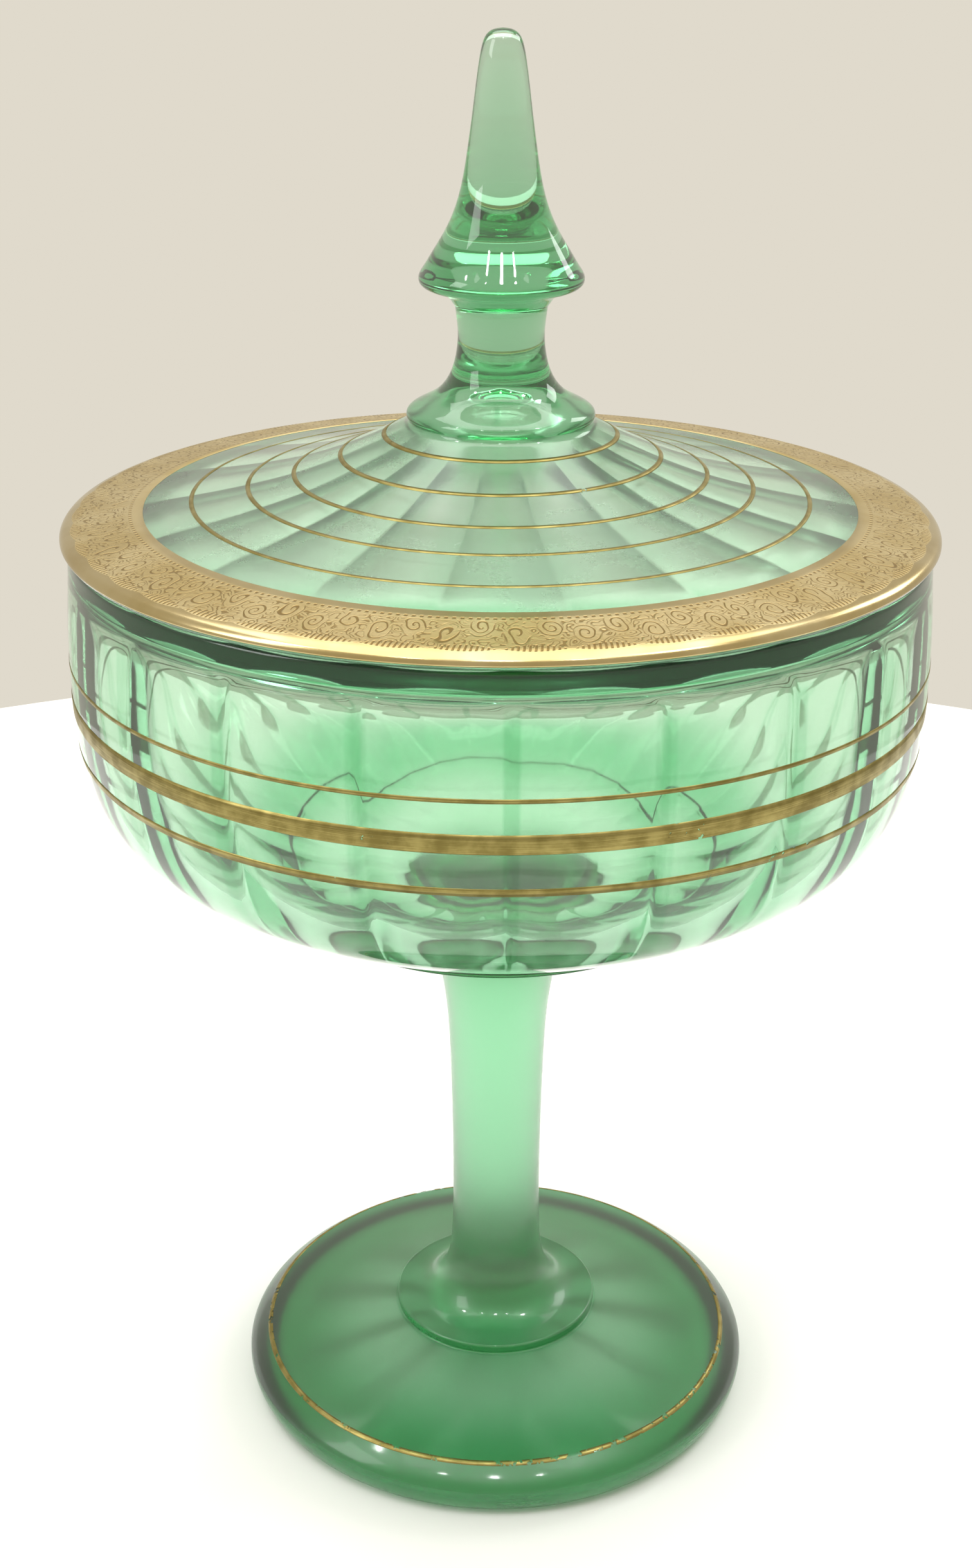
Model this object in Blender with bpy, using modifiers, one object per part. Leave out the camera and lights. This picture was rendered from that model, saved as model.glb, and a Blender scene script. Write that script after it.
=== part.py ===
"""A footed green glass candy dish with a lift-off lid and fired gold lines.

Metres, +Z up. The dish stands on the origin and every piece is turned about Z.
Outlines are (radius, height) in millimetres above the table, and run from the
top down the outer side. Pieces that are fused on the real dish keep a 0.3 mm gap.
"""

import math

import bmesh
import bpy

MM = 0.001

# Whole dish
STEPS = 54  # facets round each large piece
STEM_STEPS = 27
GAP = 0.3  # left between pieces that touch

# Foot and stem
FOOT_RADIUS = 50.35
FOOT_SEAT = 13.9  # height of the foot's flat middle
REST_INNER = 43.0  # the ring that the dish stands on
REST_OUTER = 47.2
COLLAR_RADIUS = 20.0
COLLAR_LIP = 1.9
WAFER_RADIUS = 20.0
WAFER_LIP = 1.3
WAFER_TOP = 104.1

# Bowl
BOWL_FLOOR = 111.8
BOWL_RIM = 177.3
BOWL_RIM_OUTER = 75.0
BOWL_RIM_INNER = 71.3

# Lid
LID_RADIUS = 76.2
LID_UNDER = BOWL_RIM + GAP  # where the lid rests
SKIRT_OUTER = 70.2
SKIRT_FOOT = 174.0
FINIAL_SEAT = 196.2
FINIAL_BASE_RADIUS = 16.0
TIP_HEIGHT = 260.3

# Panels pressed into the inside of the bowl and of the lid
BOWL_PANELS = 20
LID_PANELS = 18
PANEL_STEPS = 3  # facets across one panel
PANEL_DEPTH = 0.9
BOWL_TURN = math.radians(1.5)  # where a ridge between two panels stands
LID_TURN = math.radians(0.5)

# Gold
GOLD_THICKNESS = 0.3
LID_RINGS = (20.2, 27.8, 35.9, 43.9, 53.7)  # radius of each thin line
LID_RING_WIDTH = 0.8
LID_BAND_INNER = 62.0
BOWL_LINES = {  # height and width
    "bowl_gold_ring_upper": (157.4, 0.7),
    "bowl_gold_band": (150.3, 3.3),
    "bowl_gold_ring_lower": (142.1, 1.3),
}
FOOT_RING_RADIUS = 46.3
FOOT_RING_WIDTH = 0.9


def smooth(points, stretches=2):
    """A rounded line through the points, each stretch between two of them cut into this many."""
    ends = [points[0]] + list(points) + [points[-1]]
    line = []
    for before, start, stop, after in zip(ends, ends[1:], ends[2:], ends[3:]):
        for step in range(stretches):
            t = step / stretches
            line.append(
                tuple(
                    0.5 * (2 * b + (c - a) * t + (2 * a - 5 * b + 4 * c - d) * t**2 + (3 * b - a - 3 * c + d) * t**3)
                    for a, b, c, d in zip(before, start, stop, after)
                )
            )
    return line + [points[-1]]


FOOT_TOP = smooth([(22.0, FOOT_SEAT), (34.0, 11.8), (42.5, 10.3), (46.1, 9.6)], 1)
FOOT_EDGE = smooth([(46.1, 9.6), (49.5, 6.8), (FOOT_RADIUS, 4.4), (49.4, 1.5), (REST_OUTER, 0.0)])
FOOT_UNDER = smooth([(REST_INNER, 0.0), (37.0, 2.4), (22.0, 6.2), (0.0, 8.0)], 1)

STEM_SIDE = smooth(
    [
        (WAFER_RADIUS, WAFER_TOP - WAFER_LIP),
        (16.6, 101.5),
        (12.4, 96.0),
        (10.4, 87.0),
        (9.3, 76.0),
        (8.7, 56.0),
        (8.6, 38.0),
        (9.2, 26.0),
        (11.4, 19.9),
        (15.0, 16.8),
        (COLLAR_RADIUS, FOOT_SEAT + GAP + COLLAR_LIP),
    ]
)

BOWL_OUTER = smooth(
    [
        (BOWL_RIM_OUTER, BOWL_RIM - 1.2),
        (76.1, 163.0),
        (76.1, 151.0),
        (75.2, 140.5),
        (72.5, 131.8),
        (67.1, 125.0),
        (59.2, 119.8),
        (52.0, 115.9),
        (46.0, 112.9),
        (40.9, 110.3),
        (40.5, 109.0),
        (36.0, 107.6),
        (26.0, 105.6),
        (16.0, WAFER_TOP + GAP),
    ],
    1,
)
BOWL_INNER = smooth(
    [
        (22.0, 112.6),
        (36.0, 115.2),
        (51.0, 120.4),
        (62.0, 127.0),
        (68.3, 134.2),
        (71.1, 143.0),
        (72.2, 153.0),
        (72.4, 166.5),
        (72.0, 171.5),
        (BOWL_RIM_INNER, BOWL_RIM - 1.2),
    ],
    1,
)

LID_TOP = smooth(
    [
        (FINIAL_BASE_RADIUS, FINIAL_SEAT),
        (20.2, 194.0),
        (27.8, 190.4),
        (35.9, 187.4),
        (43.9, 185.3),
        (53.7, 183.3),
        (62.0, 182.0),
        (70.0, 180.8),
        (73.8, 180.3),
    ],
    1,
)
LID_EDGE = smooth(
    [
        (73.8, 180.3),
        (75.5, 179.6),
        (LID_RADIUS, 178.8),
        (75.8, 178.0),
        (74.8, LID_UNDER),
    ],
    1,
)
LID_INSIDE = smooth(
    [
        (68.6, SKIRT_FOOT + 0.4),
        (64.5, 176.3),
        (60.0, 178.2),
        (56.0, 179.6),
        (46.0, 181.6),
        (34.0, 184.6),
        (24.0, 188.2),
        (14.0, 192.0),
        (0.0, 192.6),
    ],
    1,
)

FINIAL_SIDE = smooth(
    [
        (0.0, TIP_HEIGHT),
        (1.9, 260.0),
        (3.3, 258.7),
        (4.1, 253.8),
        (5.3, 244.7),
        (6.8, 235.6),
        (8.9, 229.5),
        (12.5, 223.4),
        (14.0, 220.8),
        (12.9, 219.0),
        (8.2, 216.6),
        (7.4, 210.5),
        (8.4, 205.1),
        (10.9, 201.4),
        (15.6, 198.6),
        (16.3, 197.4),
        (FINIAL_BASE_RADIUS, FINIAL_SEAT + GAP),
    ]
)


def clear_scene():
    for obj in list(bpy.data.objects):
        bpy.data.objects.remove(obj, do_unlink=True)


def collection(name):
    made = bpy.data.collections.new(name)
    bpy.context.scene.collection.children.link(made)
    return made


def glass():
    material = bpy.data.materials.new("green_glass")
    material.use_nodes = True
    shader = material.node_tree.nodes["Principled BSDF"]
    shader.inputs["Base Color"].default_value = (0.30, 0.66, 0.42, 1.0)
    shader.inputs["Roughness"].default_value = 0.04
    shader.inputs["Metallic"].default_value = 0.0
    shader.inputs["Transmission Weight"].default_value = 0.85
    shader.inputs["IOR"].default_value = 1.5
    material.diffuse_color = (0.30, 0.66, 0.42, 0.6)
    return material


def gold():
    material = bpy.data.materials.new("fired_gold")
    material.use_nodes = True
    shader = material.node_tree.nodes["Principled BSDF"]
    shader.inputs["Base Color"].default_value = (0.66, 0.46, 0.17, 1.0)
    shader.inputs["Roughness"].default_value = 0.32
    shader.inputs["Metallic"].default_value = 1.0
    material.diffuse_color = (0.66, 0.46, 0.17, 1.0)
    return material


def outline_mesh(name, outline, closed):
    """The outline as a line of edges in the XZ plane."""
    points = [(radius * MM, 0.0, height * MM) for radius, height in outline]
    edges = [(i, i + 1) for i in range(len(points) - 1)]
    if closed:
        edges.append((len(points) - 1, 0))
    mesh = bpy.data.meshes.new(name)
    mesh.from_pydata(points, edges, [])
    return mesh


def turned(name, outline, steps, material, parts, closed=False):
    """A piece turned on the lathe from its outline."""
    obj = bpy.data.objects.new(name, outline_mesh(name, outline, closed))
    obj.data.materials.append(material)
    parts.objects.link(obj)
    screw = obj.modifiers.new("turn", "SCREW")
    screw.axis = "Z"
    screw.angle = math.tau
    screw.steps = steps
    screw.render_steps = steps
    screw.use_merge_vertices = True
    screw.merge_threshold = 0.00001
    screw.use_smooth_shade = True
    return obj


def panelled(name, outline, inner, panels, turned_by, material, parts):
    """A turned piece whose inner points are pressed outwards between the ridges of its panels."""
    work = bmesh.new()
    pressed = work.verts.layers.float.new("pressed")
    loop = []
    for radius, height in outline:
        vert = work.verts.new((radius * MM, 0.0, height * MM))
        vert[pressed] = 1.0 if (radius, height) in inner else 0.0
        loop.append(vert)
    for start, stop in zip(loop, loop[1:]):
        work.edges.new((start, stop))
    bmesh.ops.spin(
        work,
        geom=list(work.verts) + list(work.edges),
        cent=(0, 0, 0),
        axis=(0, 0, 1),
        angle=math.tau,
        steps=panels * PANEL_STEPS,
        use_merge=True,
    )
    bmesh.ops.remove_doubles(work, verts=list(work.verts), dist=0.00001)
    for vert in work.verts:
        radius = math.hypot(vert.co.x, vert.co.y)
        if vert[pressed] and radius > 0:
            turn = math.atan2(vert.co.y, vert.co.x)
            depth = PANEL_DEPTH * math.sin(turn * panels / 2) ** 2 * MM
            vert.co.xy *= (radius + depth) / radius
    bmesh.ops.recalc_face_normals(work, faces=list(work.faces))
    for face in work.faces:
        face.smooth = True
    mesh = bpy.data.meshes.new(name)
    work.to_mesh(mesh)
    work.free()
    mesh.materials.append(material)
    obj = bpy.data.objects.new(name, mesh)
    obj.rotation_euler.z = turned_by
    parts.objects.link(obj)
    return obj


def height_on(line, radius):
    """The height of an outline at this radius."""
    for (r0, z0), (r1, z1) in zip(line, line[1:]):
        if min(r0, r1) <= radius <= max(r0, r1) and r0 != r1:
            return z0 + (z1 - z0) * (radius - r0) / (r1 - r0)
    raise ValueError(f"no point of the outline is at {radius}")


def radius_on(line, height):
    """The radius of an outline at this height."""
    flipped = [(z, r) for r, z in line]
    return height_on(flipped, height)


def film(line):
    """A closed outline that lies a gap outside the line and follows it, as thick as the gold."""
    normals = []
    for i, point in enumerate(line):
        before = line[max(i - 1, 0)]
        after = line[min(i + 1, len(line) - 1)]
        run = (after[0] - before[0], after[1] - before[1])
        length = math.hypot(*run)
        normals.append((-run[1] / length, run[0] / length))
    far = [(r + n[0] * (GAP + GOLD_THICKNESS), z + n[1] * (GAP + GOLD_THICKNESS)) for (r, z), n in zip(line, normals)]
    near = [(r + n[0] * GAP, z + n[1] * GAP) for (r, z), n in zip(line, normals)]
    return far + near[::-1]


def build_foot(material, parts):
    outline = [(0.0, FOOT_SEAT)] + FOOT_TOP[:-1] + FOOT_EDGE + FOOT_UNDER
    turned("foot", outline, STEPS, material, parts)


def build_stem(material, parts):
    top = [(0.0, WAFER_TOP), (WAFER_RADIUS, WAFER_TOP)]
    bottom = [(COLLAR_RADIUS, FOOT_SEAT + GAP), (0.0, FOOT_SEAT + GAP)]
    turned("stem", top + STEM_SIDE + bottom, STEM_STEPS, material, parts)


def build_bowl(material, parts):
    lip = [(BOWL_RIM_INNER + 0.8, BOWL_RIM), (BOWL_RIM_OUTER - 0.8, BOWL_RIM)]
    outline = [(0.0, BOWL_FLOOR)] + BOWL_INNER + lip + BOWL_OUTER + [(0.0, WAFER_TOP + GAP)]
    panelled("bowl", outline, set(BOWL_INNER[1:-2]), BOWL_PANELS, BOWL_TURN, material, parts)


def build_lid(material, parts):
    skirt = [
        (SKIRT_OUTER, LID_UNDER),
        (SKIRT_OUTER, SKIRT_FOOT + 0.5),
        (SKIRT_OUTER - 0.7, SKIRT_FOOT),
    ]
    outline = [(0.0, FINIAL_SEAT)] + LID_TOP + LID_EDGE[1:] + skirt + LID_INSIDE
    panelled("lid", outline, set(LID_INSIDE[3:-2]), LID_PANELS, LID_TURN, material, parts)


def build_finial(material, parts):
    turned("finial", FINIAL_SIDE + [(0.0, FINIAL_SEAT + GAP)], STEM_STEPS, material, parts)


def build_lid_gold(material, parts):
    for number, radius in enumerate(LID_RINGS, 1):
        sides = (radius - LID_RING_WIDTH / 2, radius + LID_RING_WIDTH / 2)
        line = [(side, height_on(LID_TOP, side)) for side in sides]
        turned(f"lid_gold_ring_{number}", film(line), STEPS, material, parts, closed=True)
    start = (LID_BAND_INNER, height_on(LID_TOP, LID_BAND_INNER))
    line = [start] + [p for p in LID_TOP if p[0] > LID_BAND_INNER] + LID_EDGE[1:-1]
    turned("lid_gold_band", film(line), STEPS, material, parts, closed=True)


def build_bowl_gold(material, parts):
    for name, (height, width) in BOWL_LINES.items():
        sides = (height + width / 2, height - width / 2)
        line = [(radius_on(BOWL_OUTER, side), side) for side in sides]
        turned(name, film(line), STEPS, material, parts, closed=True)


def build_foot_gold(material, parts):
    edge = FOOT_TOP[:-1] + FOOT_EDGE[:3]
    sides = (FOOT_RING_RADIUS - FOOT_RING_WIDTH / 2, FOOT_RING_RADIUS + FOOT_RING_WIDTH / 2)
    line = [(side, height_on(edge, side)) for side in sides]
    turned("foot_gold_ring", film(line), STEPS, material, parts, closed=True)


def main():
    clear_scene()
    parts = collection("candy_dish")
    green = glass()
    gilt = gold()
    build_foot(green, parts)
    build_stem(green, parts)
    build_bowl(green, parts)
    build_lid(green, parts)
    build_finial(green, parts)
    build_lid_gold(gilt, parts)
    build_bowl_gold(gilt, parts)
    build_foot_gold(gilt, parts)


main()
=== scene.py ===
"""The looks of a covered green glass candy dish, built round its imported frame.

The foot, stem and bowl are one fused piece of glass, and so are the lid and its finial.
The fired gold lies on the glass as thin films. Outlines are (radius, height) in
millimetres above the table.
"""

import math

import bmesh
import bpy
from mathutils import Matrix, Vector, noise


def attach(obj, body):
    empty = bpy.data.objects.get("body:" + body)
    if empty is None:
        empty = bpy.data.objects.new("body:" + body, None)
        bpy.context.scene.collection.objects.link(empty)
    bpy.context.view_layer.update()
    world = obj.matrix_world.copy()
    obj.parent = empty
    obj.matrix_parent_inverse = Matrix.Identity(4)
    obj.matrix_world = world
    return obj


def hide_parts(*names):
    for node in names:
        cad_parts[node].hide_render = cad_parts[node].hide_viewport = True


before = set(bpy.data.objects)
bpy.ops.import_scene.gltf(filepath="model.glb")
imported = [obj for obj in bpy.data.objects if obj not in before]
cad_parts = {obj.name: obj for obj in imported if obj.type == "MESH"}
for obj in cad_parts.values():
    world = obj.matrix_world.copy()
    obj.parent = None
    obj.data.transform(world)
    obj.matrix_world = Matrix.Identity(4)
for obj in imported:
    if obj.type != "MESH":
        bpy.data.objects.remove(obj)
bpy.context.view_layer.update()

MM = 0.001

# Glass
BOWL_PANELS = 20
BOWL_PANEL_STEPS = 16  # facets across one panel
BOWL_PANEL_DEPTH = 1.0
BOWL_TURN = math.radians(1.5)  # where a ridge between two panels stands
LID_PANELS = 18
LID_PANEL_STEPS = 16
LID_PANEL_DEPTH = 0.7
LID_TURN = math.radians(0.5)
FOOT_PANELS = 12
FOOT_PANEL_DEPTH = 0.8
FOOT_TURN = math.radians(8.5)
SEAM_GAP = 0.000002  # metres, under which vertices are merged
GLASS_WAVE = 0.12  # how far the pressed side wanders
WAVE_LENGTH = 14.0
RIDGE_ROUNDING = 0.12  # how soft a ridge is, as a share of the depth beside it
RIDGE_CROWDING = 0.55  # how much closer the facets stand at a ridge than on average

# Gold
GOLD_STEPS = 288
GOLD_SECTORS = 12
GOLD_CLEAR = 0.02  # from the glass to the gold, so that their faces never meet
GOLD_THICKNESS = 0.07
GOLD_THIN_END = 0.3  # the share of its thickness that a film has at its ends
LID_RINGS = (20.2, 27.8, 35.9, 43.9, 53.7)
LID_RING_WIDTH = 0.8
LID_BAND_INNER = 62.0
LID_GOLD_FOOT = 178.4  # how far down the edge the gold comes
LID_BAND_POLISHED = 75.0  # outside this radius the gold is plain and bright
BOWL_LINES = {  # height and width
    "bowl_gold_ring_upper": (157.4, 0.75),
    "bowl_gold_band": (150.3, 3.3),
    "bowl_gold_ring_lower": (142.1, 1.35),
}
FOOT_RING_RADIUS = 46.2
FOOT_RING_WIDTH = 0.9

# The etched band, counted round the whole lid. The row is a share of the band's width.
MOTIFS = 84.0
DOTS = 330.0
DOT_ROW = 0.17
HATCH_STROKES = 540.0
SCALLOPS = 44

# Colours
CLEAN_GLASS = (0.89, 0.92, 0.87, 1.0)
DUSTY_GLASS = (0.84, 0.88, 0.82, 1.0)
# Painted shade: a deeper green put into the glass's colour where thick glass and shaded places look dark
PAINTED_SHADE_GREEN = (0.12, 0.55, 0.27, 1.0)
ABSORBED_COLOUR = (0.34, 0.81, 0.54, 1.0)
ABSORBED_DENSITY = 100.0
LINE_GOLD_DARK = (0.19, 0.153, 0.045, 1.0)
LINE_GOLD_PALE = (0.34, 0.285, 0.10, 1.0)
BAND_GOLD_DARK = (0.45, 0.345, 0.15, 1.0)
BAND_GOLD_PALE = (0.54, 0.44, 0.235, 1.0)
GROOVE_GOLD = (0.23, 0.15, 0.045, 1.0)
BACKDROP = (0.745, 0.70, 0.604, 1.0)
TABLE_GREY = (0.90, 0.90, 0.89, 1.0)
TABLE_WHITE = (0.94, 0.94, 0.94, 1.0)

# Finish of the glass
CLEAR_ROUGHNESS = 0.03
LINES_ROUGHNESS = 0.015
DUST_ROUGHNESS = 0.3
SATIN_ROUGHNESS = 0.42
TRANSMISSION = 0.955
GLASS_IOR = 1.51
COAT_ROUGHNESS = 0.08

# Stage
TABLE_RADIUS = 0.41
LAMPS = {  # place, size and power
    "lamp_front": ((0.0, -0.9, 1.5), 0.08, 2.2),
    "lamp_left": ((-0.9, -0.35, 1.3), 0.09, 2.4),
    "lamp_right": ((0.75, -0.35, 1.4), 0.11, 3.0),
    "lamp_near_left": ((-0.45, -0.8, 1.4), 0.05, 1.0),
    "lamp_near_right": ((0.4, -0.8, 1.4), 0.05, 1.0),
}
CAMERA_PLACE = Vector((0.0, -0.368, 0.2847))
CAMERA_PITCH = math.radians(23.092)
CAMERA_YAW = math.radians(-0.362)
CAMERA_ROLL = math.radians(-0.204)
CAMERA_LENS = 49.62


# ---------------------------------------------------------------- outlines


def rounded(points, stretches=4):
    """A rounded line through the points, each stretch between two of them cut into this many."""
    ends = [points[0]] + list(points) + [points[-1]]
    line = []
    for a, b, c, d in zip(ends, ends[1:], ends[2:], ends[3:]):
        for step in range(stretches):
            t = step / stretches
            line.append(
                tuple(
                    0.5
                    * (
                        2 * q
                        + (r - p) * t
                        + (2 * p - 5 * q + 4 * r - s) * t**2
                        + (3 * q - p - 3 * r + s) * t**3
                    )
                    for p, q, r, s in zip(a, b, c, d)
                )
            )
    return line + [points[-1]]


def arc(centre, radius, start, stop, steps=6):
    """Points round part of a circle, with its angles in degrees."""
    turns = [math.radians(start + (stop - start) * i / steps) for i in range(steps + 1)]
    return [(centre[0] + radius * math.cos(t), centre[1] + radius * math.sin(t)) for t in turns]


FOOT_UNDER = rounded([(0.0, 8.0), (12.0, 7.6), (22.0, 6.2), (37.0, 2.4), (43.0, 0.3)])
FOOT_EDGE = [(43.6, 0.0)] + rounded([(47.2, 0.0), (49.4, 1.5), (50.35, 4.4), (49.5, 6.8), (46.1, 9.6)], 5)
FOOT_TOP = rounded([(46.1, 9.6), (42.5, 10.3), (34.0, 11.8), (22.0, 13.9), (20.1, 14.1)])
COLLAR = arc((19.5, 14.8), 0.5, -50, 0) + arc((19.5, 15.6), 0.5, 0, 80)
STEM = rounded(
    [
        (19.3, 16.1),
        (15.0, 16.8),
        (11.4, 19.9),
        (9.2, 26.0),
        (8.6, 38.0),
        (8.7, 56.0),
        (9.3, 76.0),
        (10.4, 87.0),
        (12.4, 96.0),
        (16.6, 101.5),
        (21.0, 103.9),
    ]
)
PAD = rounded([(26.0, 105.3), (36.0, 107.4), (39.9, 108.7)]) + arc((39.9, 109.5), 0.8, -80, 30)
BOWL_OUTER = rounded(
    [
        (41.1, 110.3),
        (46.0, 112.9),
        (52.0, 115.9),
        (59.2, 119.8),
        (67.1, 125.0),
        (72.5, 131.8),
        (75.2, 140.5),
        (76.1, 151.0),
        (76.0, 163.0),
        (75.1, 175.6),
    ],
    5,
)
BOWL_RIM = arc((74.1, 176.3), 1.0, 0, 160, 8)
BOWL_COLLAR = [(73.0, 176.4), (72.6, 175.6), (72.1, 174.6), (71.6, 173.6), (71.2, 172.8)]
BOWL_INNER = rounded(
    [
        (71.0, 172.3),
        (71.3, 171.7),
        (72.0, 170.8),
        (72.4, 166.5),
        (72.2, 153.0),
        (71.1, 143.0),
        (68.3, 134.2),
        (62.0, 127.0),
        (51.0, 120.4),
        (36.0, 115.2),
        (22.0, 112.6),
        (0.0, 111.6),
    ],
    5,
)

LID_TOP = rounded(
    [
        (17.0, 195.7),
        (20.2, 194.0),
        (27.8, 190.4),
        (35.9, 187.4),
        (43.9, 185.3),
        (53.7, 183.3),
        (62.0, 182.0),
        (70.0, 180.8),
        (73.8, 180.3),
    ]
)
LID_EDGE = rounded([(73.8, 180.3), (75.5, 179.7), (76.2, 178.8), (75.9, 177.9), (74.8, 177.4)], 4)
LID_SKIRT = [(70.8, 177.4), (70.2, 176.8), (70.2, 174.6)] + arc((69.6, 174.6), 0.6, 0, -115)
LID_INSIDE = rounded(
    [
        (68.6, 174.4),
        (64.5, 176.3),
        (60.0, 178.2),
        (56.0, 179.6),
        (46.0, 181.6),
        (34.0, 184.6),
        (24.0, 188.2),
        (15.0, 191.8),
        (9.0, 195.4),
        (5.0, 199.4),
        (0.0, 201.0),
    ]
)
FINIAL = rounded(
    [
        (0.0, 260.3),
        (1.9, 259.9),
        (3.2, 258.3),
        (4.1, 253.8),
        (5.3, 244.7),
        (6.8, 235.6),
        (8.9, 229.5),
        (12.5, 223.4),
        (14.0, 220.8),
        (13.2, 219.1),
        (9.6, 217.8),
        (8.3, 216.4),
    ]
) + rounded(
    [
        (7.9, 215.9),
        (7.4, 210.5),
        (8.4, 205.1),
        (10.9, 201.4),
        (15.4, 198.8),
        (16.3, 197.5),
        (15.9, 196.5),
    ]
)


# ---------------------------------------------------------------- shapes


def chain(outline, closed=False):
    """A new bmesh that holds the outline as a line of edges in the XZ plane."""
    work = bmesh.new()
    verts = [work.verts.new((r * MM, 0.0, z * MM)) for r, z in outline]
    for start, stop in zip(verts, verts[1:]):
        work.edges.new((start, stop))
    if closed:
        work.edges.new((verts[-1], verts[0]))
    return work


def chain_with_panels(stretches):
    """A chain of several stretches. Each has its points, and 1 where panels are pressed or 0."""
    work = chain([point for points, _ in stretches for point in points])
    pressed = work.verts.layers.float.new("pressed")
    work.verts.ensure_lookup_table()
    number = 0
    for points, mark in stretches:
        for _ in points:
            work.verts[number][pressed] = mark
            number += 1
    return work


def turn_round(work, verts, angle):
    """Turns these vertices about the dish's axis."""
    bmesh.ops.rotate(work, verts=verts, cent=(0, 0, 0), matrix=Matrix.Rotation(angle, 3, "Z"))


def turn(work, steps, sectors):
    """Spins the line round Z, one sector first and then its copies, into a closed skin that
    faces outwards."""
    bmesh.ops.spin(
        work,
        geom=list(work.verts) + list(work.edges),
        cent=(0, 0, 0),
        axis=(0, 0, 1),
        angle=math.tau / sectors,
        steps=steps // sectors,
    )
    sector = list(work.verts) + list(work.edges) + list(work.faces)
    for number in range(1, sectors):
        copied = bmesh.ops.duplicate(work, geom=sector)["geom"]
        verts = [item for item in copied if isinstance(item, bmesh.types.BMVert)]
        turn_round(work, verts, math.tau * number / sectors)
    bmesh.ops.remove_doubles(work, verts=list(work.verts), dist=SEAM_GAP)
    bmesh.ops.recalc_face_normals(work, faces=list(work.faces))
    # Two faces never run along the same two corners the same way, so this order is the only one.
    work.verts.index_update()
    count = len(work.verts)
    work.faces.sort(key=lambda face: face.verts[0].index * count + face.verts[1].index)


def press_panels(work, low, high, panels, turned_by, depth_at):
    """Presses panels into the marked side of the glass between two heights.

    depth_at gives the depth for a radius, a height and a place across the panel from -1 to 1.
    """
    pressed = work.verts.layers.float["pressed"]
    work.normal_update()
    for vert in list(work.verts):
        height = vert.co.z / MM
        if vert[pressed] > 0.5 and low <= height <= high:
            radius = math.hypot(vert.co.x, vert.co.y) / MM
            across = ((math.atan2(vert.co.y, vert.co.x) - turned_by) * panels / math.tau) % 1 * 2 - 1
            vert[pressed] = 0.0
            vert.co -= vert.normal * (depth_at(radius, height, across) * MM)


def wave(radius, height, across):
    """The slow wander of a pressed side."""
    return GLASS_WAVE * noise.noise(Vector((radius, height, across * 9.0)) / WAVE_LENGTH)


def crowd_ridges(work, panels, turned_by):
    """Moves the facets round the axis so that they are finest at the ridges."""
    for vert in work.verts:
        radius = math.hypot(vert.co.x, vert.co.y)
        if radius > 0:
            angle = math.atan2(vert.co.y, vert.co.x) - turned_by
            angle -= RIDGE_CROWDING * math.sin(angle * panels) / panels
            vert.co.x = radius * math.cos(angle + turned_by)
            vert.co.y = radius * math.sin(angle + turned_by)


def finished(work, name, material, body, slot, *nodes):
    """Makes the bmesh a piece that rides on a body and stands for these nodes."""
    for face in work.faces:
        face.smooth = True
    mesh = bpy.data.meshes.new(name)
    work.to_mesh(mesh)
    work.free()
    mesh.materials.append(material)
    piece = bpy.data.objects.new(name, mesh)
    bpy.context.scene.collection.objects.link(piece)
    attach(piece, body)
    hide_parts(*nodes)
    return piece


def ease(low, high, value):
    """0 below low, 1 above high, and a smooth rise between them."""
    t = min(max((value - low) / (high - low), 0.0), 1.0)
    return t * t * (3 - 2 * t)


def bowl_press(radius, height, across):
    """Panels with arched tops under a plain collar, fading out on the bowl's floor."""
    shoulder = 1 - ease(170.4, 172.0, height + 1.8 * across**6)
    hollow = math.hypot(1 - across**2, RIDGE_ROUNDING) - RIDGE_ROUNDING
    return ease(18, 48, radius) * shoulder * (BOWL_PANEL_DEPTH * hollow + wave(radius, height, across))


def foot_press(radius, height, across):
    """Soft flutes that end short of the ring that the dish stands on."""
    flute = FOOT_PANEL_DEPTH * (1 + math.cos(math.pi * across)) / 2
    return ease(8, 18, radius) * (1 - ease(36, 43, radius)) * flute


def lid_press(radius, height, across):
    """Panels between the finial and the seat ring."""
    return ease(14, 24, radius) * (1 - ease(62, 66, radius)) * LID_PANEL_DEPTH * (1 - across**2)


def build_base_glass(material):
    """The foot, stem and bowl, as one piece of glass."""
    outside = FOOT_EDGE + FOOT_TOP[1:] + COLLAR + STEM + PAD + BOWL_OUTER + BOWL_RIM + BOWL_COLLAR
    work = chain_with_panels([(FOOT_UNDER, 1.0), (outside, 0.0), (BOWL_INNER, 1.0)])
    turn(work, BOWL_PANELS * BOWL_PANEL_STEPS, BOWL_PANELS)
    turn_round(work, list(work.verts), BOWL_TURN)
    crowd_ridges(work, BOWL_PANELS, BOWL_TURN)
    press_panels(work, 110.0, 180.0, BOWL_PANELS, BOWL_TURN, bowl_press)
    press_panels(work, 0.0, 9.0, FOOT_PANELS, FOOT_TURN, foot_press)
    return finished(work, "base_glass", material, "base", "green_glass", "foot", "stem", "bowl")


def build_lid_glass(material):
    """The lid and its finial, as one piece of glass."""
    outside = FINIAL + LID_TOP + LID_EDGE[1:] + LID_SKIRT
    work = chain_with_panels([(outside, 0.0), (LID_INSIDE, 1.0)])
    turn(work, LID_PANELS * LID_PANEL_STEPS, LID_PANELS)
    turn_round(work, list(work.verts), LID_TURN)
    crowd_ridges(work, LID_PANELS, LID_TURN)
    press_panels(work, 170.0, 202.0, LID_PANELS, LID_TURN, lid_press)
    return finished(work, "lid_glass", material, "lid", "green_glass", "lid", "finial")


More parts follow.
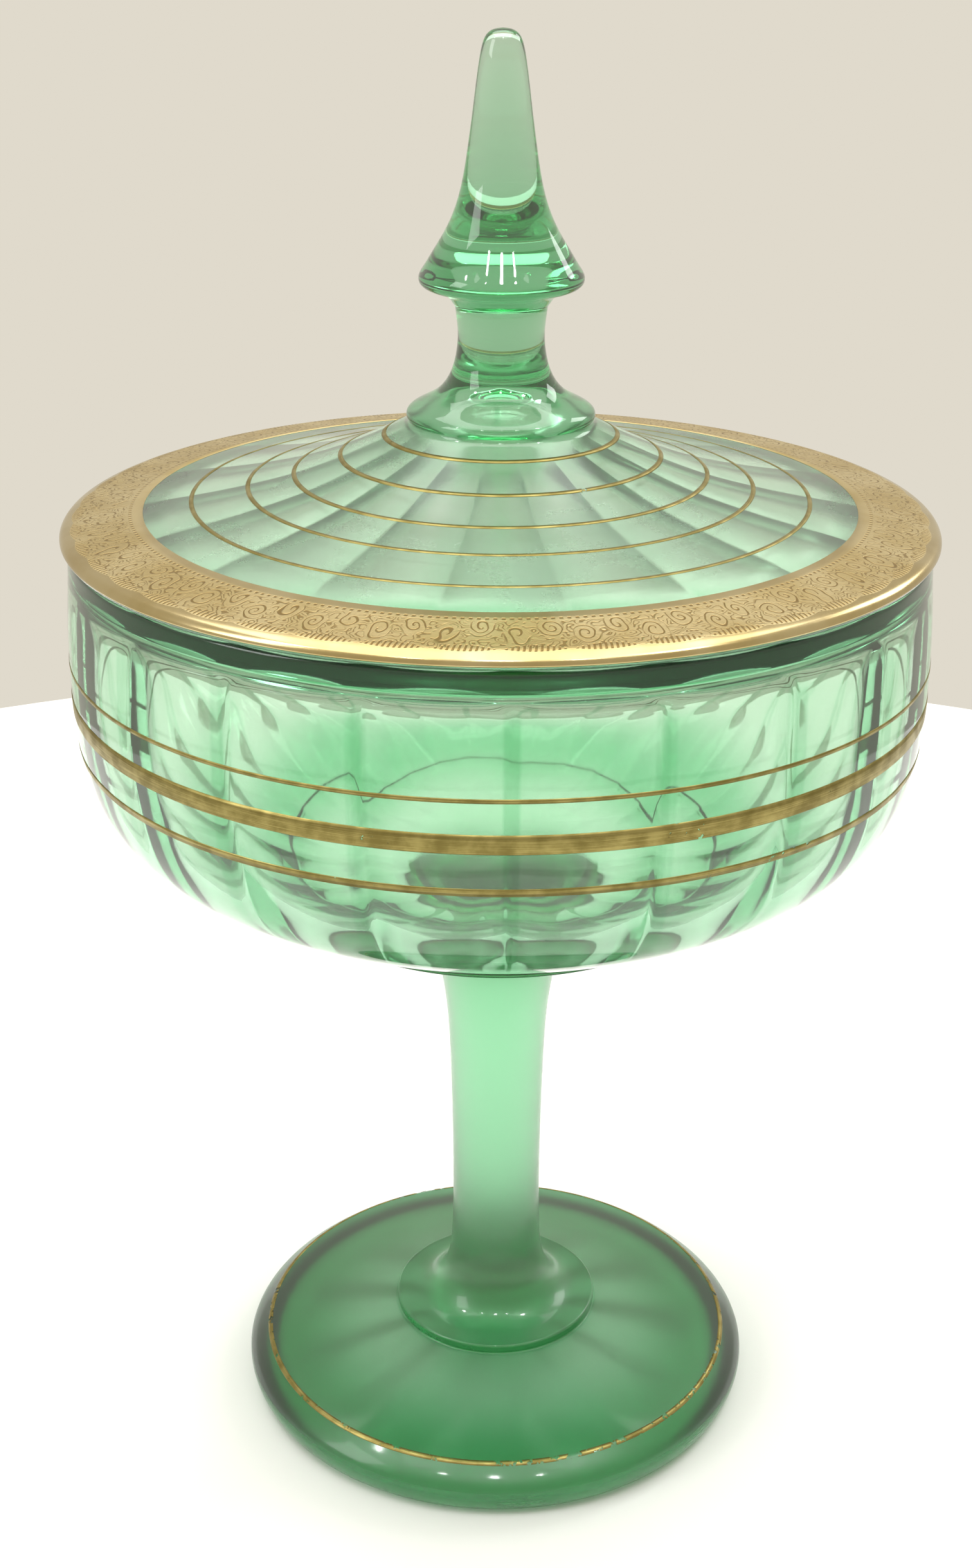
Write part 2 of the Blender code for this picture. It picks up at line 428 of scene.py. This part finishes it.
def point_at(line, along, value):
    """The point of a line where its radius (along 0) or its height (along 1) has this value."""
    for a, b in zip(line, line[1:]):
        if min(a[along], b[along]) <= value <= max(a[along], b[along]) and a[along] != b[along]:
            t = (value - a[along]) / (b[along] - a[along])
            return (a[0] + (b[0] - a[0]) * t, a[1] + (b[1] - a[1]) * t)
    raise ValueError(f"the line never reaches {value}")


def between(line, along, start, stop):
    """The part of a line from one value to another, with both ends."""
    low, high = min(start, stop), max(start, stop)
    middle = [p for p in line if low < p[along] < high]
    return [point_at(line, along, start)] + middle + [point_at(line, along, stop)]


def film(line):
    """A closed outline of the gold that follows the line just outside the glass."""
    far, near = [], []
    for i, (radius, height) in enumerate(line):
        before, after = line[max(i - 1, 0)], line[min(i + 1, len(line) - 1)]
        run = Vector((after[0] - before[0], after[1] - before[1])).normalized()
        out = Vector((-run.y, run.x))
        end = GOLD_THICKNESS if 0 < i < len(line) - 1 else GOLD_THICKNESS * GOLD_THIN_END
        far.append(tuple(Vector((radius, height)) + out * (GOLD_CLEAR + end)))
        near.append(tuple(Vector((radius, height)) + out * GOLD_CLEAR))
    return far + near[::-1]


def gold_piece(name, line, material, body, slot):
    """A film of gold that stands for the node of the same name."""
    work = chain(film(line), closed=True)
    turn(work, GOLD_STEPS, GOLD_SECTORS)
    return finished(work, name, material, body, slot, name)


def build_gold(line_gold, band_gold):
    """Every fired line and band."""
    for number, radius in enumerate(LID_RINGS, 1):
        half = LID_RING_WIDTH / 2
        line = between(LID_TOP, 0, radius - half, radius + half)
        gold_piece(f"lid_gold_ring_{number}", line, line_gold, "lid", "fired_gold")
    band = between(LID_TOP, 0, LID_BAND_INNER, 73.8)[:-1] + between(LID_EDGE, 1, 180.3, LID_GOLD_FOOT)
    gold_piece("lid_gold_band", band, band_gold, "lid", "etched_gold")
    wall = BOWL_OUTER[::-1]
    for name, (height, width) in BOWL_LINES.items():
        line = between(wall, 1, height + width / 2, height - width / 2)
        gold_piece(name, line, line_gold, "base", "fired_gold")
    top = FOOT_TOP[::-1] + FOOT_EDGE[::-1][1:]
    half = FOOT_RING_WIDTH / 2
    line = between(top[:-8], 0, FOOT_RING_RADIUS - half, FOOT_RING_RADIUS + half)
    gold_piece("foot_gold_ring", line, line_gold, "base", "fired_gold")


# ---------------------------------------------------------------- materials


def add(tree, kind, inputs=None, **settings):
    """A new node, with its settings, and its inputs set to values or linked to sockets."""
    made = tree.nodes.new("ShaderNode" + kind)
    for name, value in settings.items():
        setattr(made, name, value)
    for name, value in (inputs or {}).items():
        if isinstance(value, bpy.types.NodeSocket):
            tree.links.new(value, made.inputs[name])
        else:
            made.inputs[name].default_value = value
    return made


def maths(tree, operation, *values):
    """The result of a Math node on numbers or sockets."""
    made = add(tree, "Math", dict(enumerate(values)), operation=operation)
    return made.outputs[0]


def times(tree, first, second):
    return maths(tree, "MULTIPLY", first, second)


def larger(tree, first, second):
    return maths(tree, "MAXIMUM", first, second)


def remap(tree, value, low, high, to_low=0.0, to_high=1.0, smooth=True):
    """A value carried from one range to another, and held at both ends."""
    kind = "SMOOTHSTEP" if smooth else "LINEAR"
    inputs = {"Value": value, "From Min": low, "From Max": high, "To Min": to_low, "To Max": to_high}
    return add(tree, "MapRange", inputs, interpolation_type=kind).outputs["Result"]


def blend_colours(tree, share, first, second):
    """The first colour where the share is 0 and the second where it is 1."""
    made = add(tree, "Mix", {0: share, 6: first, 7: second}, data_type="RGBA")
    return made.outputs[2]


def group(name, inputs, outputs):
    """A new node group with its in and out sockets. An input is a name with its value, or with
    None for a place, and every output is a number."""
    tree = bpy.data.node_groups.new(name, "ShaderNodeTree")
    for label, value in inputs.items():
        kind = "NodeSocketVector" if value is None else "NodeSocketFloat"
        socket = tree.interface.new_socket(label, in_out="INPUT", socket_type=kind)
        if value is not None:
            socket.default_value = value
    for label in outputs:
        tree.interface.new_socket(label, in_out="OUTPUT", socket_type="NodeSocketFloat")
    entry = tree.nodes.new("NodeGroupInput")
    leave = tree.nodes.new("NodeGroupOutput")
    return tree, entry.outputs, leave.inputs


def place(tree, made_group, inputs):
    """Puts a node group into a material."""
    node = tree.nodes.new("ShaderNodeGroup")
    node.node_tree = made_group
    for name, value in inputs.items():
        if isinstance(value, bpy.types.NodeSocket):
            tree.links.new(value, node.inputs[name])
        else:
            node.inputs[name].default_value = value
    return node.outputs


def round_the_axis():
    """Splits a place into its angle in turns, its radius and its height, both in millimetres."""
    tree, given, wanted = group("round_the_axis", {"Place": None}, ["Turns", "Radius", "Height"])
    parts = add(tree, "SeparateXYZ", {0: given["Place"]}).outputs
    angle = maths(tree, "ARCTAN2", parts["Y"], parts["X"])
    turns = maths(tree, "MULTIPLY_ADD", angle, 1 / math.tau, 0.5)
    across = times(tree, parts["X"], parts["X"])
    square = maths(tree, "MULTIPLY_ADD", parts["Y"], parts["Y"], across)
    tree.links.new(turns, wanted["Turns"])
    tree.links.new(times(tree, maths(tree, "SQRT", square), 1000.0), wanted["Radius"])
    tree.links.new(times(tree, parts["Z"], 1000.0), wanted["Height"])
    return tree


def turned_scratches(round_axis):
    """Fine lines that run round the axis, as wiping and the lathe leave them."""
    tree, given, wanted = group("turned_scratches", {"Place": None, "Fineness": 3.0}, ["Lines"])
    polar = place(tree, round_axis, {"Place": given["Place"]})
    along = times(tree, polar["Turns"], 30.0)
    out = times(tree, polar["Radius"], given["Fineness"])
    up = times(tree, polar["Height"], given["Fineness"])
    where = add(tree, "CombineXYZ", {0: along, 1: out, 2: up}).outputs[0]
    streaks = add(tree, "TexNoise", {"Vector": where, "Scale": 1.0, "Detail": 3.0, "Roughness": 0.7})
    tree.links.new(remap(tree, streaks.outputs["Fac"], 0.42, 0.68), wanted["Lines"])
    return tree


def settled_dust():
    """Soft clouds of dust with fine specks in them."""
    tree, given, wanted = group("settled_dust", {"Place": None, "Clouds": 40.0, "Specks": 1500.0}, ["Dust"])
    clouds = add(tree, "TexNoise", {"Vector": given["Place"], "Scale": given["Clouds"], "Detail": 5.0})
    specks = add(tree, "TexNoise", {"Vector": given["Place"], "Scale": given["Specks"], "Detail": 2.0})
    soft = remap(tree, clouds.outputs["Fac"], 0.35, 0.75)
    fine = remap(tree, specks.outputs["Fac"], 0.4, 0.7)
    dust = maths(tree, "MULTIPLY_ADD", soft, 0.92, times(tree, fine, 0.08))
    tree.links.new(dust, wanted["Dust"])
    return tree


def worn_flecks():
    """1 where the gold has worn or chipped away, in small flecks."""
    tree, given, wanted = group("worn_flecks", {"Place": None, "Size": 900.0, "Amount": 0.3}, ["Bare"])
    fleck = {"Vector": given["Place"], "Scale": given["Size"], "Detail": 4.0, "Roughness": 0.65}
    small = add(tree, "TexNoise", fleck)
    patch = add(tree, "TexNoise", {"Vector": given["Place"], "Scale": 60.0, "Detail": 2.0})
    both = maths(tree, "MULTIPLY_ADD", patch.outputs["Fac"], 0.5, small.outputs["Fac"])
    limit = maths(tree, "SUBTRACT", 1.15, times(tree, given["Amount"], 0.5))
    above = maths(tree, "SUBTRACT", both, limit)
    tree.links.new(remap(tree, above, 0.0, 0.02), wanted["Bare"])
    return tree


def thin_line(tree, value, width):
    """1 where a repeating value is near a whole number, within this share of its period."""
    away = maths(tree, "PINGPONG", value, 0.5)
    return remap(tree, away, width * 0.5, width, 1.0, 0.0)


def etched_scrolls(round_axis):
    """Scrolls among leaves, with a row of dots inside and hatched scallops outside.
    Grooves are 1 and the plain gold 0."""
    names = {"Place": None, "Inner": 62.0, "Outer": 75.0, "Motifs": MOTIFS}
    tree, given, wanted = group("etched_scrolls", names, ["Grooves", "Matt"])
    polar = place(tree, round_axis, {"Place": given["Place"]})
    run = times(tree, polar["Turns"], given["Motifs"])
    width = maths(tree, "SUBTRACT", given["Outer"], given["Inner"])
    rise = maths(tree, "DIVIDE", maths(tree, "SUBTRACT", polar["Radius"], given["Inner"]), width)
    bend = add(tree, "TexNoise", {"Vector": given["Place"], "Scale": 190.0, "Detail": 1.0}).outputs["Fac"]
    twist = maths(tree, "MULTIPLY_ADD", bend, 3.0, -1.5)
    number = maths(tree, "FLOOR", run)
    odd = maths(tree, "MULTIPLY_ADD", maths(tree, "MODULO", number, 2.0), 2.0, -1.0)
    x = maths(tree, "MULTIPLY_ADD", maths(tree, "FRACT", run), 8.0, -4.0)
    level = maths(tree, "MULTIPLY_ADD", odd, 0.09, 0.47)
    y = times(tree, times(tree, maths(tree, "SUBTRACT", rise, level), 12.5), odd)
    reach = maths(tree, "SQRT", maths(tree, "MULTIPLY_ADD", x, x, times(tree, y, y)))
    bearing = maths(tree, "DIVIDE", maths(tree, "ARCTAN2", y, x), math.tau)
    winding = maths(tree, "MULTIPLY_ADD", reach, 0.62, bearing)
    coil = maths(tree, "ADD", winding, times(tree, twist, 1.1))
    within = remap(tree, reach, 2.6, 3.6, 1.0, 0.0)
    scrolls = times(tree, thin_line(tree, coil, 0.16), within)
    leaf = add(tree, "TexNoise", {"Vector": given["Place"], "Scale": 420.0, "Detail": 0.8}).outputs["Fac"]
    veins = thin_line(tree, maths(tree, "MULTIPLY_ADD", leaf, 8.0, twist), 0.2)
    outside = maths(tree, "SUBTRACT", 1.0, within)
    foliage = times(tree, veins, maths(tree, "MULTIPLY_ADD", outside, 0.75, 0.1))
    main = larger(tree, scrolls, foliage)
    fits = times(tree, remap(tree, rise, 0.2, 0.26), remap(tree, rise, 0.84, 0.9, 1.0, 0.0))
    main = times(tree, main, fits)
    from_row = maths(tree, "ABSOLUTE", maths(tree, "SUBTRACT", rise, DOT_ROW))
    dot_row = remap(tree, from_row, 0.012, 0.03, 1.0, 0.0)
    dots = times(tree, dot_row, thin_line(tree, times(tree, polar["Turns"], DOTS), 0.3))
    stroke = maths(tree, "MULTIPLY_ADD", polar["Turns"], HATCH_STROKES, times(tree, rise, 2.0))
    hatch = thin_line(tree, stroke, 0.28)
    swing = times(tree, polar["Turns"], math.tau * SCALLOPS / 2)
    scallop = maths(tree, "ABSOLUTE", maths(tree, "SINE", swing))
    base = maths(tree, "MULTIPLY_ADD", scallop, -0.12, 0.92)
    above = remap(tree, maths(tree, "SUBTRACT", rise, base), -0.01, 0.02)
    lobes = maths(tree, "MULTIPLY_ADD", scallop, 0.045, 0.915)
    edge = remap(tree, maths(tree, "SUBTRACT", rise, lobes), -0.02, 0.0, 1.0, 0.0)
    border = times(tree, times(tree, hatch, above), edge)
    grooves = larger(tree, larger(tree, main, dots), border)
    tree.links.new(grooves, wanted["Grooves"])
    past = maths(tree, "SUBTRACT", rise, lobes)
    tree.links.new(remap(tree, past, -0.008, 0.008, 1.0, 0.0), wanted["Matt"])
    return tree


def new_material(name):
    """A new material with its tree, its shader and its output."""
    material = bpy.data.materials.new(name)
    material.use_nodes = True
    tree = material.node_tree
    return material, tree, tree.nodes["Principled BSDF"], tree.nodes["Material Output"]


def make_glass(name, groups, satin_zone, dusty_zone, painted_shade_zone):
    """Green glass. The zones give masks from 0 to 1 for ground glass, for settled dust and for
    painted shade, a deeper green painted where thick glass and shaded places look dark."""
    material, tree, shader, output = new_material(name)
    coordinates = add(tree, "TexCoord").outputs
    place_on = coordinates["Object"]
    polar = place(tree, groups["axis"], {"Place": place_on})
    facing = add(tree, "SeparateXYZ", {0: coordinates["Normal"]}).outputs["Z"]
    satin = satin_zone(tree, polar, facing)
    dusty = dusty_zone(tree, polar, facing)
    dust = place(tree, groups["dust"], {"Place": place_on})["Dust"]
    lines = place(tree, groups["scratches"], {"Place": place_on, "Fineness": 4.0})["Lines"]
    settled = times(tree, dusty, maths(tree, "MULTIPLY_ADD", dust, 0.7, 0.3))
    ground = times(tree, satin, maths(tree, "MULTIPLY_ADD", dust, 0.1, 0.9))
    tint = blend_colours(tree, settled, CLEAN_GLASS, DUSTY_GLASS)
    # painted shade: the colour turns deeper green where the painted shade mask is high
    painted_shade = blend_colours(tree, painted_shade_zone(tree, polar), tint, PAINTED_SHADE_GREEN)
    tree.links.new(painted_shade, shader.inputs["Base Color"])
    haze = maths(tree, "MULTIPLY_ADD", settled, DUST_ROUGHNESS, CLEAR_ROUGHNESS)
    rough = maths(tree, "MULTIPLY_ADD", lines, LINES_ROUGHNESS, haze)
    rough = maths(tree, "MULTIPLY_ADD", ground, SATIN_ROUGHNESS, rough)
    tree.links.new(rough, shader.inputs["Roughness"])
    tree.links.new(times(tree, satin, 0.5), shader.inputs["Coat Weight"])
    height = maths(tree, "MULTIPLY_ADD", lines, maths(tree, "MULTIPLY_ADD", dusty, 0.6, 0.05), settled)
    bump = add(tree, "Bump", {"Height": height, "Strength": 0.1, "Distance": 0.00002})
    tree.links.new(bump.outputs["Normal"], shader.inputs["Normal"])
    shader.inputs["Metallic"].default_value = 0.0
    shader.inputs["Transmission Weight"].default_value = TRANSMISSION
    shader.inputs["IOR"].default_value = GLASS_IOR
    shader.inputs["Coat Roughness"].default_value = COAT_ROUGHNESS
    inside = add(tree, "VolumeAbsorption")
    inside.inputs["Color"].default_value = ABSORBED_COLOUR
    inside.inputs["Density"].default_value = ABSORBED_DENSITY
    tree.links.new(inside.outputs["Volume"], output.inputs["Volume"])
    return material


def base_satin(tree, polar, facing):
    """The stem, the foot and the disc between them are satin, the foot's underside most of all.
    The bowl is clear, with a little satin on its collar."""
    height, radius = polar["Height"], polar["Radius"]
    below_bowl = remap(tree, height, 101.0, 104.0, 1.0, 0.0)
    under = times(tree, remap(tree, facing, -0.2, -0.7), remap(tree, height, 9.0, 13.0, 1.0, 0.0))
    top = times(tree, 0.85, below_bowl)
    rolled = remap(tree, radius, 45.5, 48.0, 1.0, 0.9)
    steep = remap(tree, facing, 0.2, 0.6, 0.75, 1.0)
    level = remap(tree, height, 17.0, 24.0)
    top = times(tree, top, larger(tree, times(tree, rolled, steep), level))
    collar_foot = remap(tree, height, 172.2, 174.6, 0.0, 0.2)
    collar = times(tree, collar_foot, remap(tree, height, 176.6, 177.2, 1.0, 0.0))
    return larger(tree, larger(tree, under, top), collar)


def base_dust(tree, polar, facing):
    """A little dust lies on the foot."""
    up = remap(tree, facing, 0.3, 0.8)
    return times(tree, up, remap(tree, polar["Height"], 15.0, 20.0, 0.05, 0.0))


def base_painted_shade(tree, polar):
    """Painted shade: a deeper green painted on the bowl's collar under the lid, its bottom and the
    ridges between its panels, the stem's lower end with its disc, and the foot's rolled edge."""
    height, radius = polar["Height"], polar["Radius"]
    # painted shade in the dark gap under the lid's gold, on the bowl's collar
    collar_foot = remap(tree, height, 172.2, 174.2, 0.0, 0.9)
    collar = times(tree, collar_foot, remap(tree, height, 176.6, 177.2, 1.0, 0.0))
    bottom = times(tree, remap(tree, height, 113.0, 126.0, 0.85, 0.0), remap(tree, radius, 24.0, 44.0))
    disc = times(tree, remap(tree, height, 15.0, 27.0, 0.8, 0.0), remap(tree, height, 13.9, 14.3))
    disc = times(tree, disc, remap(tree, radius, 20.0, 20.6, 1.0, 0.0))
    edge = times(tree, remap(tree, radius, 47.6, 49.8, 0.0, 0.2), remap(tree, height, 8.0, 9.5, 1.0, 0.0))
    # painted shade along the ridges between the bowl's panels
    first_ridge = -BOWL_TURN * BOWL_PANELS / math.tau
    panel = maths(tree, "MULTIPLY_ADD", polar["Turns"], float(BOWL_PANELS), first_ridge)
    ridge = times(tree, thin_line(tree, panel, 0.07), remap(tree, height, 168.0, 172.0, 0.35, 0.0))
    ridge = times(tree, ridge, remap(tree, height, 112.0, 130.0))
    upper = larger(tree, larger(tree, collar, bottom), ridge)
    return larger(tree, upper, larger(tree, disc, edge))


def lid_painted_shade(tree, polar):
    """Painted shade: a little deeper green painted on the finial's spreading base and its knop."""
    height = polar["Height"]
    base = times(tree, remap(tree, height, 195.0, 198.0), remap(tree, height, 200.0, 206.0, 0.25, 0.0))
    from_knop = maths(tree, "ABSOLUTE", maths(tree, "SUBTRACT", height, 221.0))
    return larger(tree, base, remap(tree, from_knop, 2.0, 8.0, 0.18, 0.0))


def lid_satin(tree, polar, facing):
    """The lid is a little hazy from use, and the finial is clear."""
    return remap(tree, polar["Height"], 176.0, 198.0, 0.14, 0.0)


def lid_dust(tree, polar, facing):
    """Dust lies on the lid's top."""
    up = remap(tree, facing, 0.3, 0.8)
    lid = remap(tree, polar["Height"], 194.0, 199.0, 1.0, 0.0)
    return times(tree, up, lid)


def make_line_gold(groups):
    """Fired gold lines, with small flecks worn away."""
    material, tree, shader, _ = new_material("line_gold")
    place_on = add(tree, "TexCoord").outputs["Object"]
    polar = place(tree, groups["axis"], {"Place": place_on})
    worn = remap(tree, polar["Height"], 20.0, 60.0, 0.62, 0.36)
    bare = place(tree, groups["flecks"], {"Place": place_on, "Size": 700.0, "Amount": worn})["Bare"]
    cloud = add(tree, "TexNoise", {"Vector": place_on, "Scale": 300.0, "Detail": 4.0}).outputs["Fac"]
    lines = place(tree, groups["scratches"], {"Place": place_on, "Fineness": 8.0})["Lines"]
    tone = remap(tree, maths(tree, "MULTIPLY_ADD", lines, 0.25, cloud), 0.35, 0.85)
    tree.links.new(blend_colours(tree, tone, LINE_GOLD_DARK, LINE_GOLD_PALE), shader.inputs["Base Color"])
    tree.links.new(remap(tree, tone, 0.0, 1.0, 0.5, 0.34, smooth=False), shader.inputs["Roughness"])
    tree.links.new(maths(tree, "SUBTRACT", 1.0, bare), shader.inputs["Alpha"])
    bump = add(tree, "Bump", {"Height": cloud, "Strength": 0.3, "Distance": 0.00004})
    tree.links.new(bump.outputs["Normal"], shader.inputs["Normal"])
    shader.inputs["Metallic"].default_value = 1.0
    return material


def make_band_gold(groups):
    """Gold over etched scrolls, plain and polished round the rim."""
    material, tree, shader, _ = new_material("band_gold")
    place_on = add(tree, "TexCoord").outputs["Object"]
    reach = {"Place": place_on, "Inner": LID_BAND_INNER, "Outer": LID_BAND_POLISHED}
    etched = place(tree, groups["scrolls"], reach)
    grain = add(tree, "TexNoise", {"Vector": place_on, "Scale": 1400.0, "Detail": 3.0}).outputs["Fac"]
    cloud = add(tree, "TexNoise", {"Vector": place_on, "Scale": 90.0, "Detail": 3.0}).outputs["Fac"]
    matt = etched["Matt"]
    warm = blend_colours(tree, remap(tree, cloud, 0.3, 0.7), BAND_GOLD_DARK, BAND_GOLD_PALE)
    cut = times(tree, etched["Grooves"], 0.95)
    tree.links.new(blend_colours(tree, cut, warm, GROOVE_GOLD), shader.inputs["Base Color"])
    dull = maths(tree, "MULTIPLY_ADD", matt, 0.2, 0.17)
    tree.links.new(maths(tree, "MULTIPLY_ADD", grain, 0.06, dull), shader.inputs["Roughness"])
    roughened = times(tree, times(tree, grain, matt), 0.35)
    depth = maths(tree, "SUBTRACT", roughened, etched["Grooves"])
    bump = add(tree, "Bump", {"Height": depth, "Strength": 0.8, "Distance": 0.00008})
    tree.links.new(bump.outputs["Normal"], shader.inputs["Normal"])
    shader.inputs["Metallic"].default_value = 1.0
    return material


# ---------------------------------------------------------------- stage


def build_table():
    """A round pale table top."""
    work = bmesh.new()
    bmesh.ops.create_cone(
        work, cap_ends=True, segments=192, radius1=TABLE_RADIUS, radius2=TABLE_RADIUS, depth=0.02
    )
    bmesh.ops.translate(work, verts=list(work.verts), vec=(0, 0, -0.01))
    mesh = bpy.data.meshes.new("table")
    work.to_mesh(mesh)
    work.free()
    material, tree, shader, _ = new_material("table_white")
    place_on = add(tree, "TexCoord").outputs["Object"]
    cloud = add(tree, "TexNoise", {"Vector": place_on, "Scale": 6.0, "Detail": 3.0}).outputs["Fac"]
    tree.links.new(blend_colours(tree, cloud, TABLE_GREY, TABLE_WHITE), shader.inputs["Base Color"])
    shader.inputs["Roughness"].default_value = 0.7
    mesh.materials.append(material)
    table = bpy.data.objects.new("table", mesh)
    bpy.context.scene.collection.objects.link(table)


def soft_light(name, place_at, aim, width, height, power):
    """A rectangle of white light that faces a point."""
    data = bpy.data.lights.new(name, "AREA")
    data.shape = "RECTANGLE"
    data.size = width
    data.size_y = height
    data.energy = power
    light = bpy.data.objects.new(name, data)
    light.location = place_at
    light.rotation_euler = (Vector(aim) - Vector(place_at)).to_track_quat("-Z", "Y").to_euler()
    bpy.context.scene.collection.objects.link(light)
    return light


def lamp(name, place_at, size, power):
    """A small bright lamp that shows as highlights and doesn't light the table."""
    light = soft_light(name, place_at, (0, 0, 0.15), size, size, power)
    light.visible_diffuse = False


def build_lights():
    """Soft light from above and from two windows, lamps for the highlights, and the backdrop."""
    soft_light("overhead", (0.0, 0.1, 1.4), (0, 0, 0), 1.6, 1.6, 22.0)
    soft_light("left_window", (-1.2, -0.5, 0.9), (0, 0, 0.18), 0.5, 0.7, 5.0)
    soft_light("right_window", (1.1, 0.9, 1.0), (0, 0, 0.18), 0.5, 0.6, 5.0)
    for name, (place_at, size, power) in LAMPS.items():
        lamp(name, place_at, size, power)
    world = bpy.data.worlds.new("backdrop")
    world.use_nodes = True
    world.node_tree.nodes["Background"].inputs["Color"].default_value = BACKDROP
    world.node_tree.nodes["Background"].inputs["Strength"].default_value = 1.0
    bpy.context.scene.world = world


def build_camera():
    """A camera a little above the dish, turned down to it."""
    level = Vector((math.sin(CAMERA_YAW), math.cos(CAMERA_YAW), 0.0))
    ahead = level * math.cos(CAMERA_PITCH) - Vector((0, 0, math.sin(CAMERA_PITCH)))
    right = ahead.cross(Vector((0, 0, 1))).normalized()
    up = right.cross(ahead)
    turned = Matrix((right, up, -ahead)).transposed() @ Matrix.Rotation(-CAMERA_ROLL, 3, "Z")
    data = bpy.data.cameras.new("camera")
    data.lens = CAMERA_LENS
    data.clip_start = 0.01
    data.clip_end = 20.0
    camera = bpy.data.objects.new("camera", data)
    camera.matrix_world = Matrix.Translation(CAMERA_PLACE) @ turned.to_4x4()
    bpy.context.scene.collection.objects.link(camera)
    bpy.context.scene.camera = camera


def main():
    axis = round_the_axis()
    groups = {
        "axis": axis,
        "scratches": turned_scratches(axis),
        "dust": settled_dust(),
        "flecks": worn_flecks(),
        "scrolls": etched_scrolls(axis),
    }
    build_base_glass(make_glass("base_green_glass", groups, base_satin, base_dust, base_painted_shade))
    build_lid_glass(make_glass("lid_green_glass", groups, lid_satin, lid_dust, lid_painted_shade))
    build_gold(make_line_gold(groups), make_band_gold(groups))
    build_table()
    build_lights()
    build_camera()
    scene = bpy.context.scene
    scene.view_settings.view_transform = "Standard"
    scene.cycles.max_bounces = 20
    scene.cycles.transmission_bounces = 20
    scene.cycles.transparent_max_bounces = 16


main()
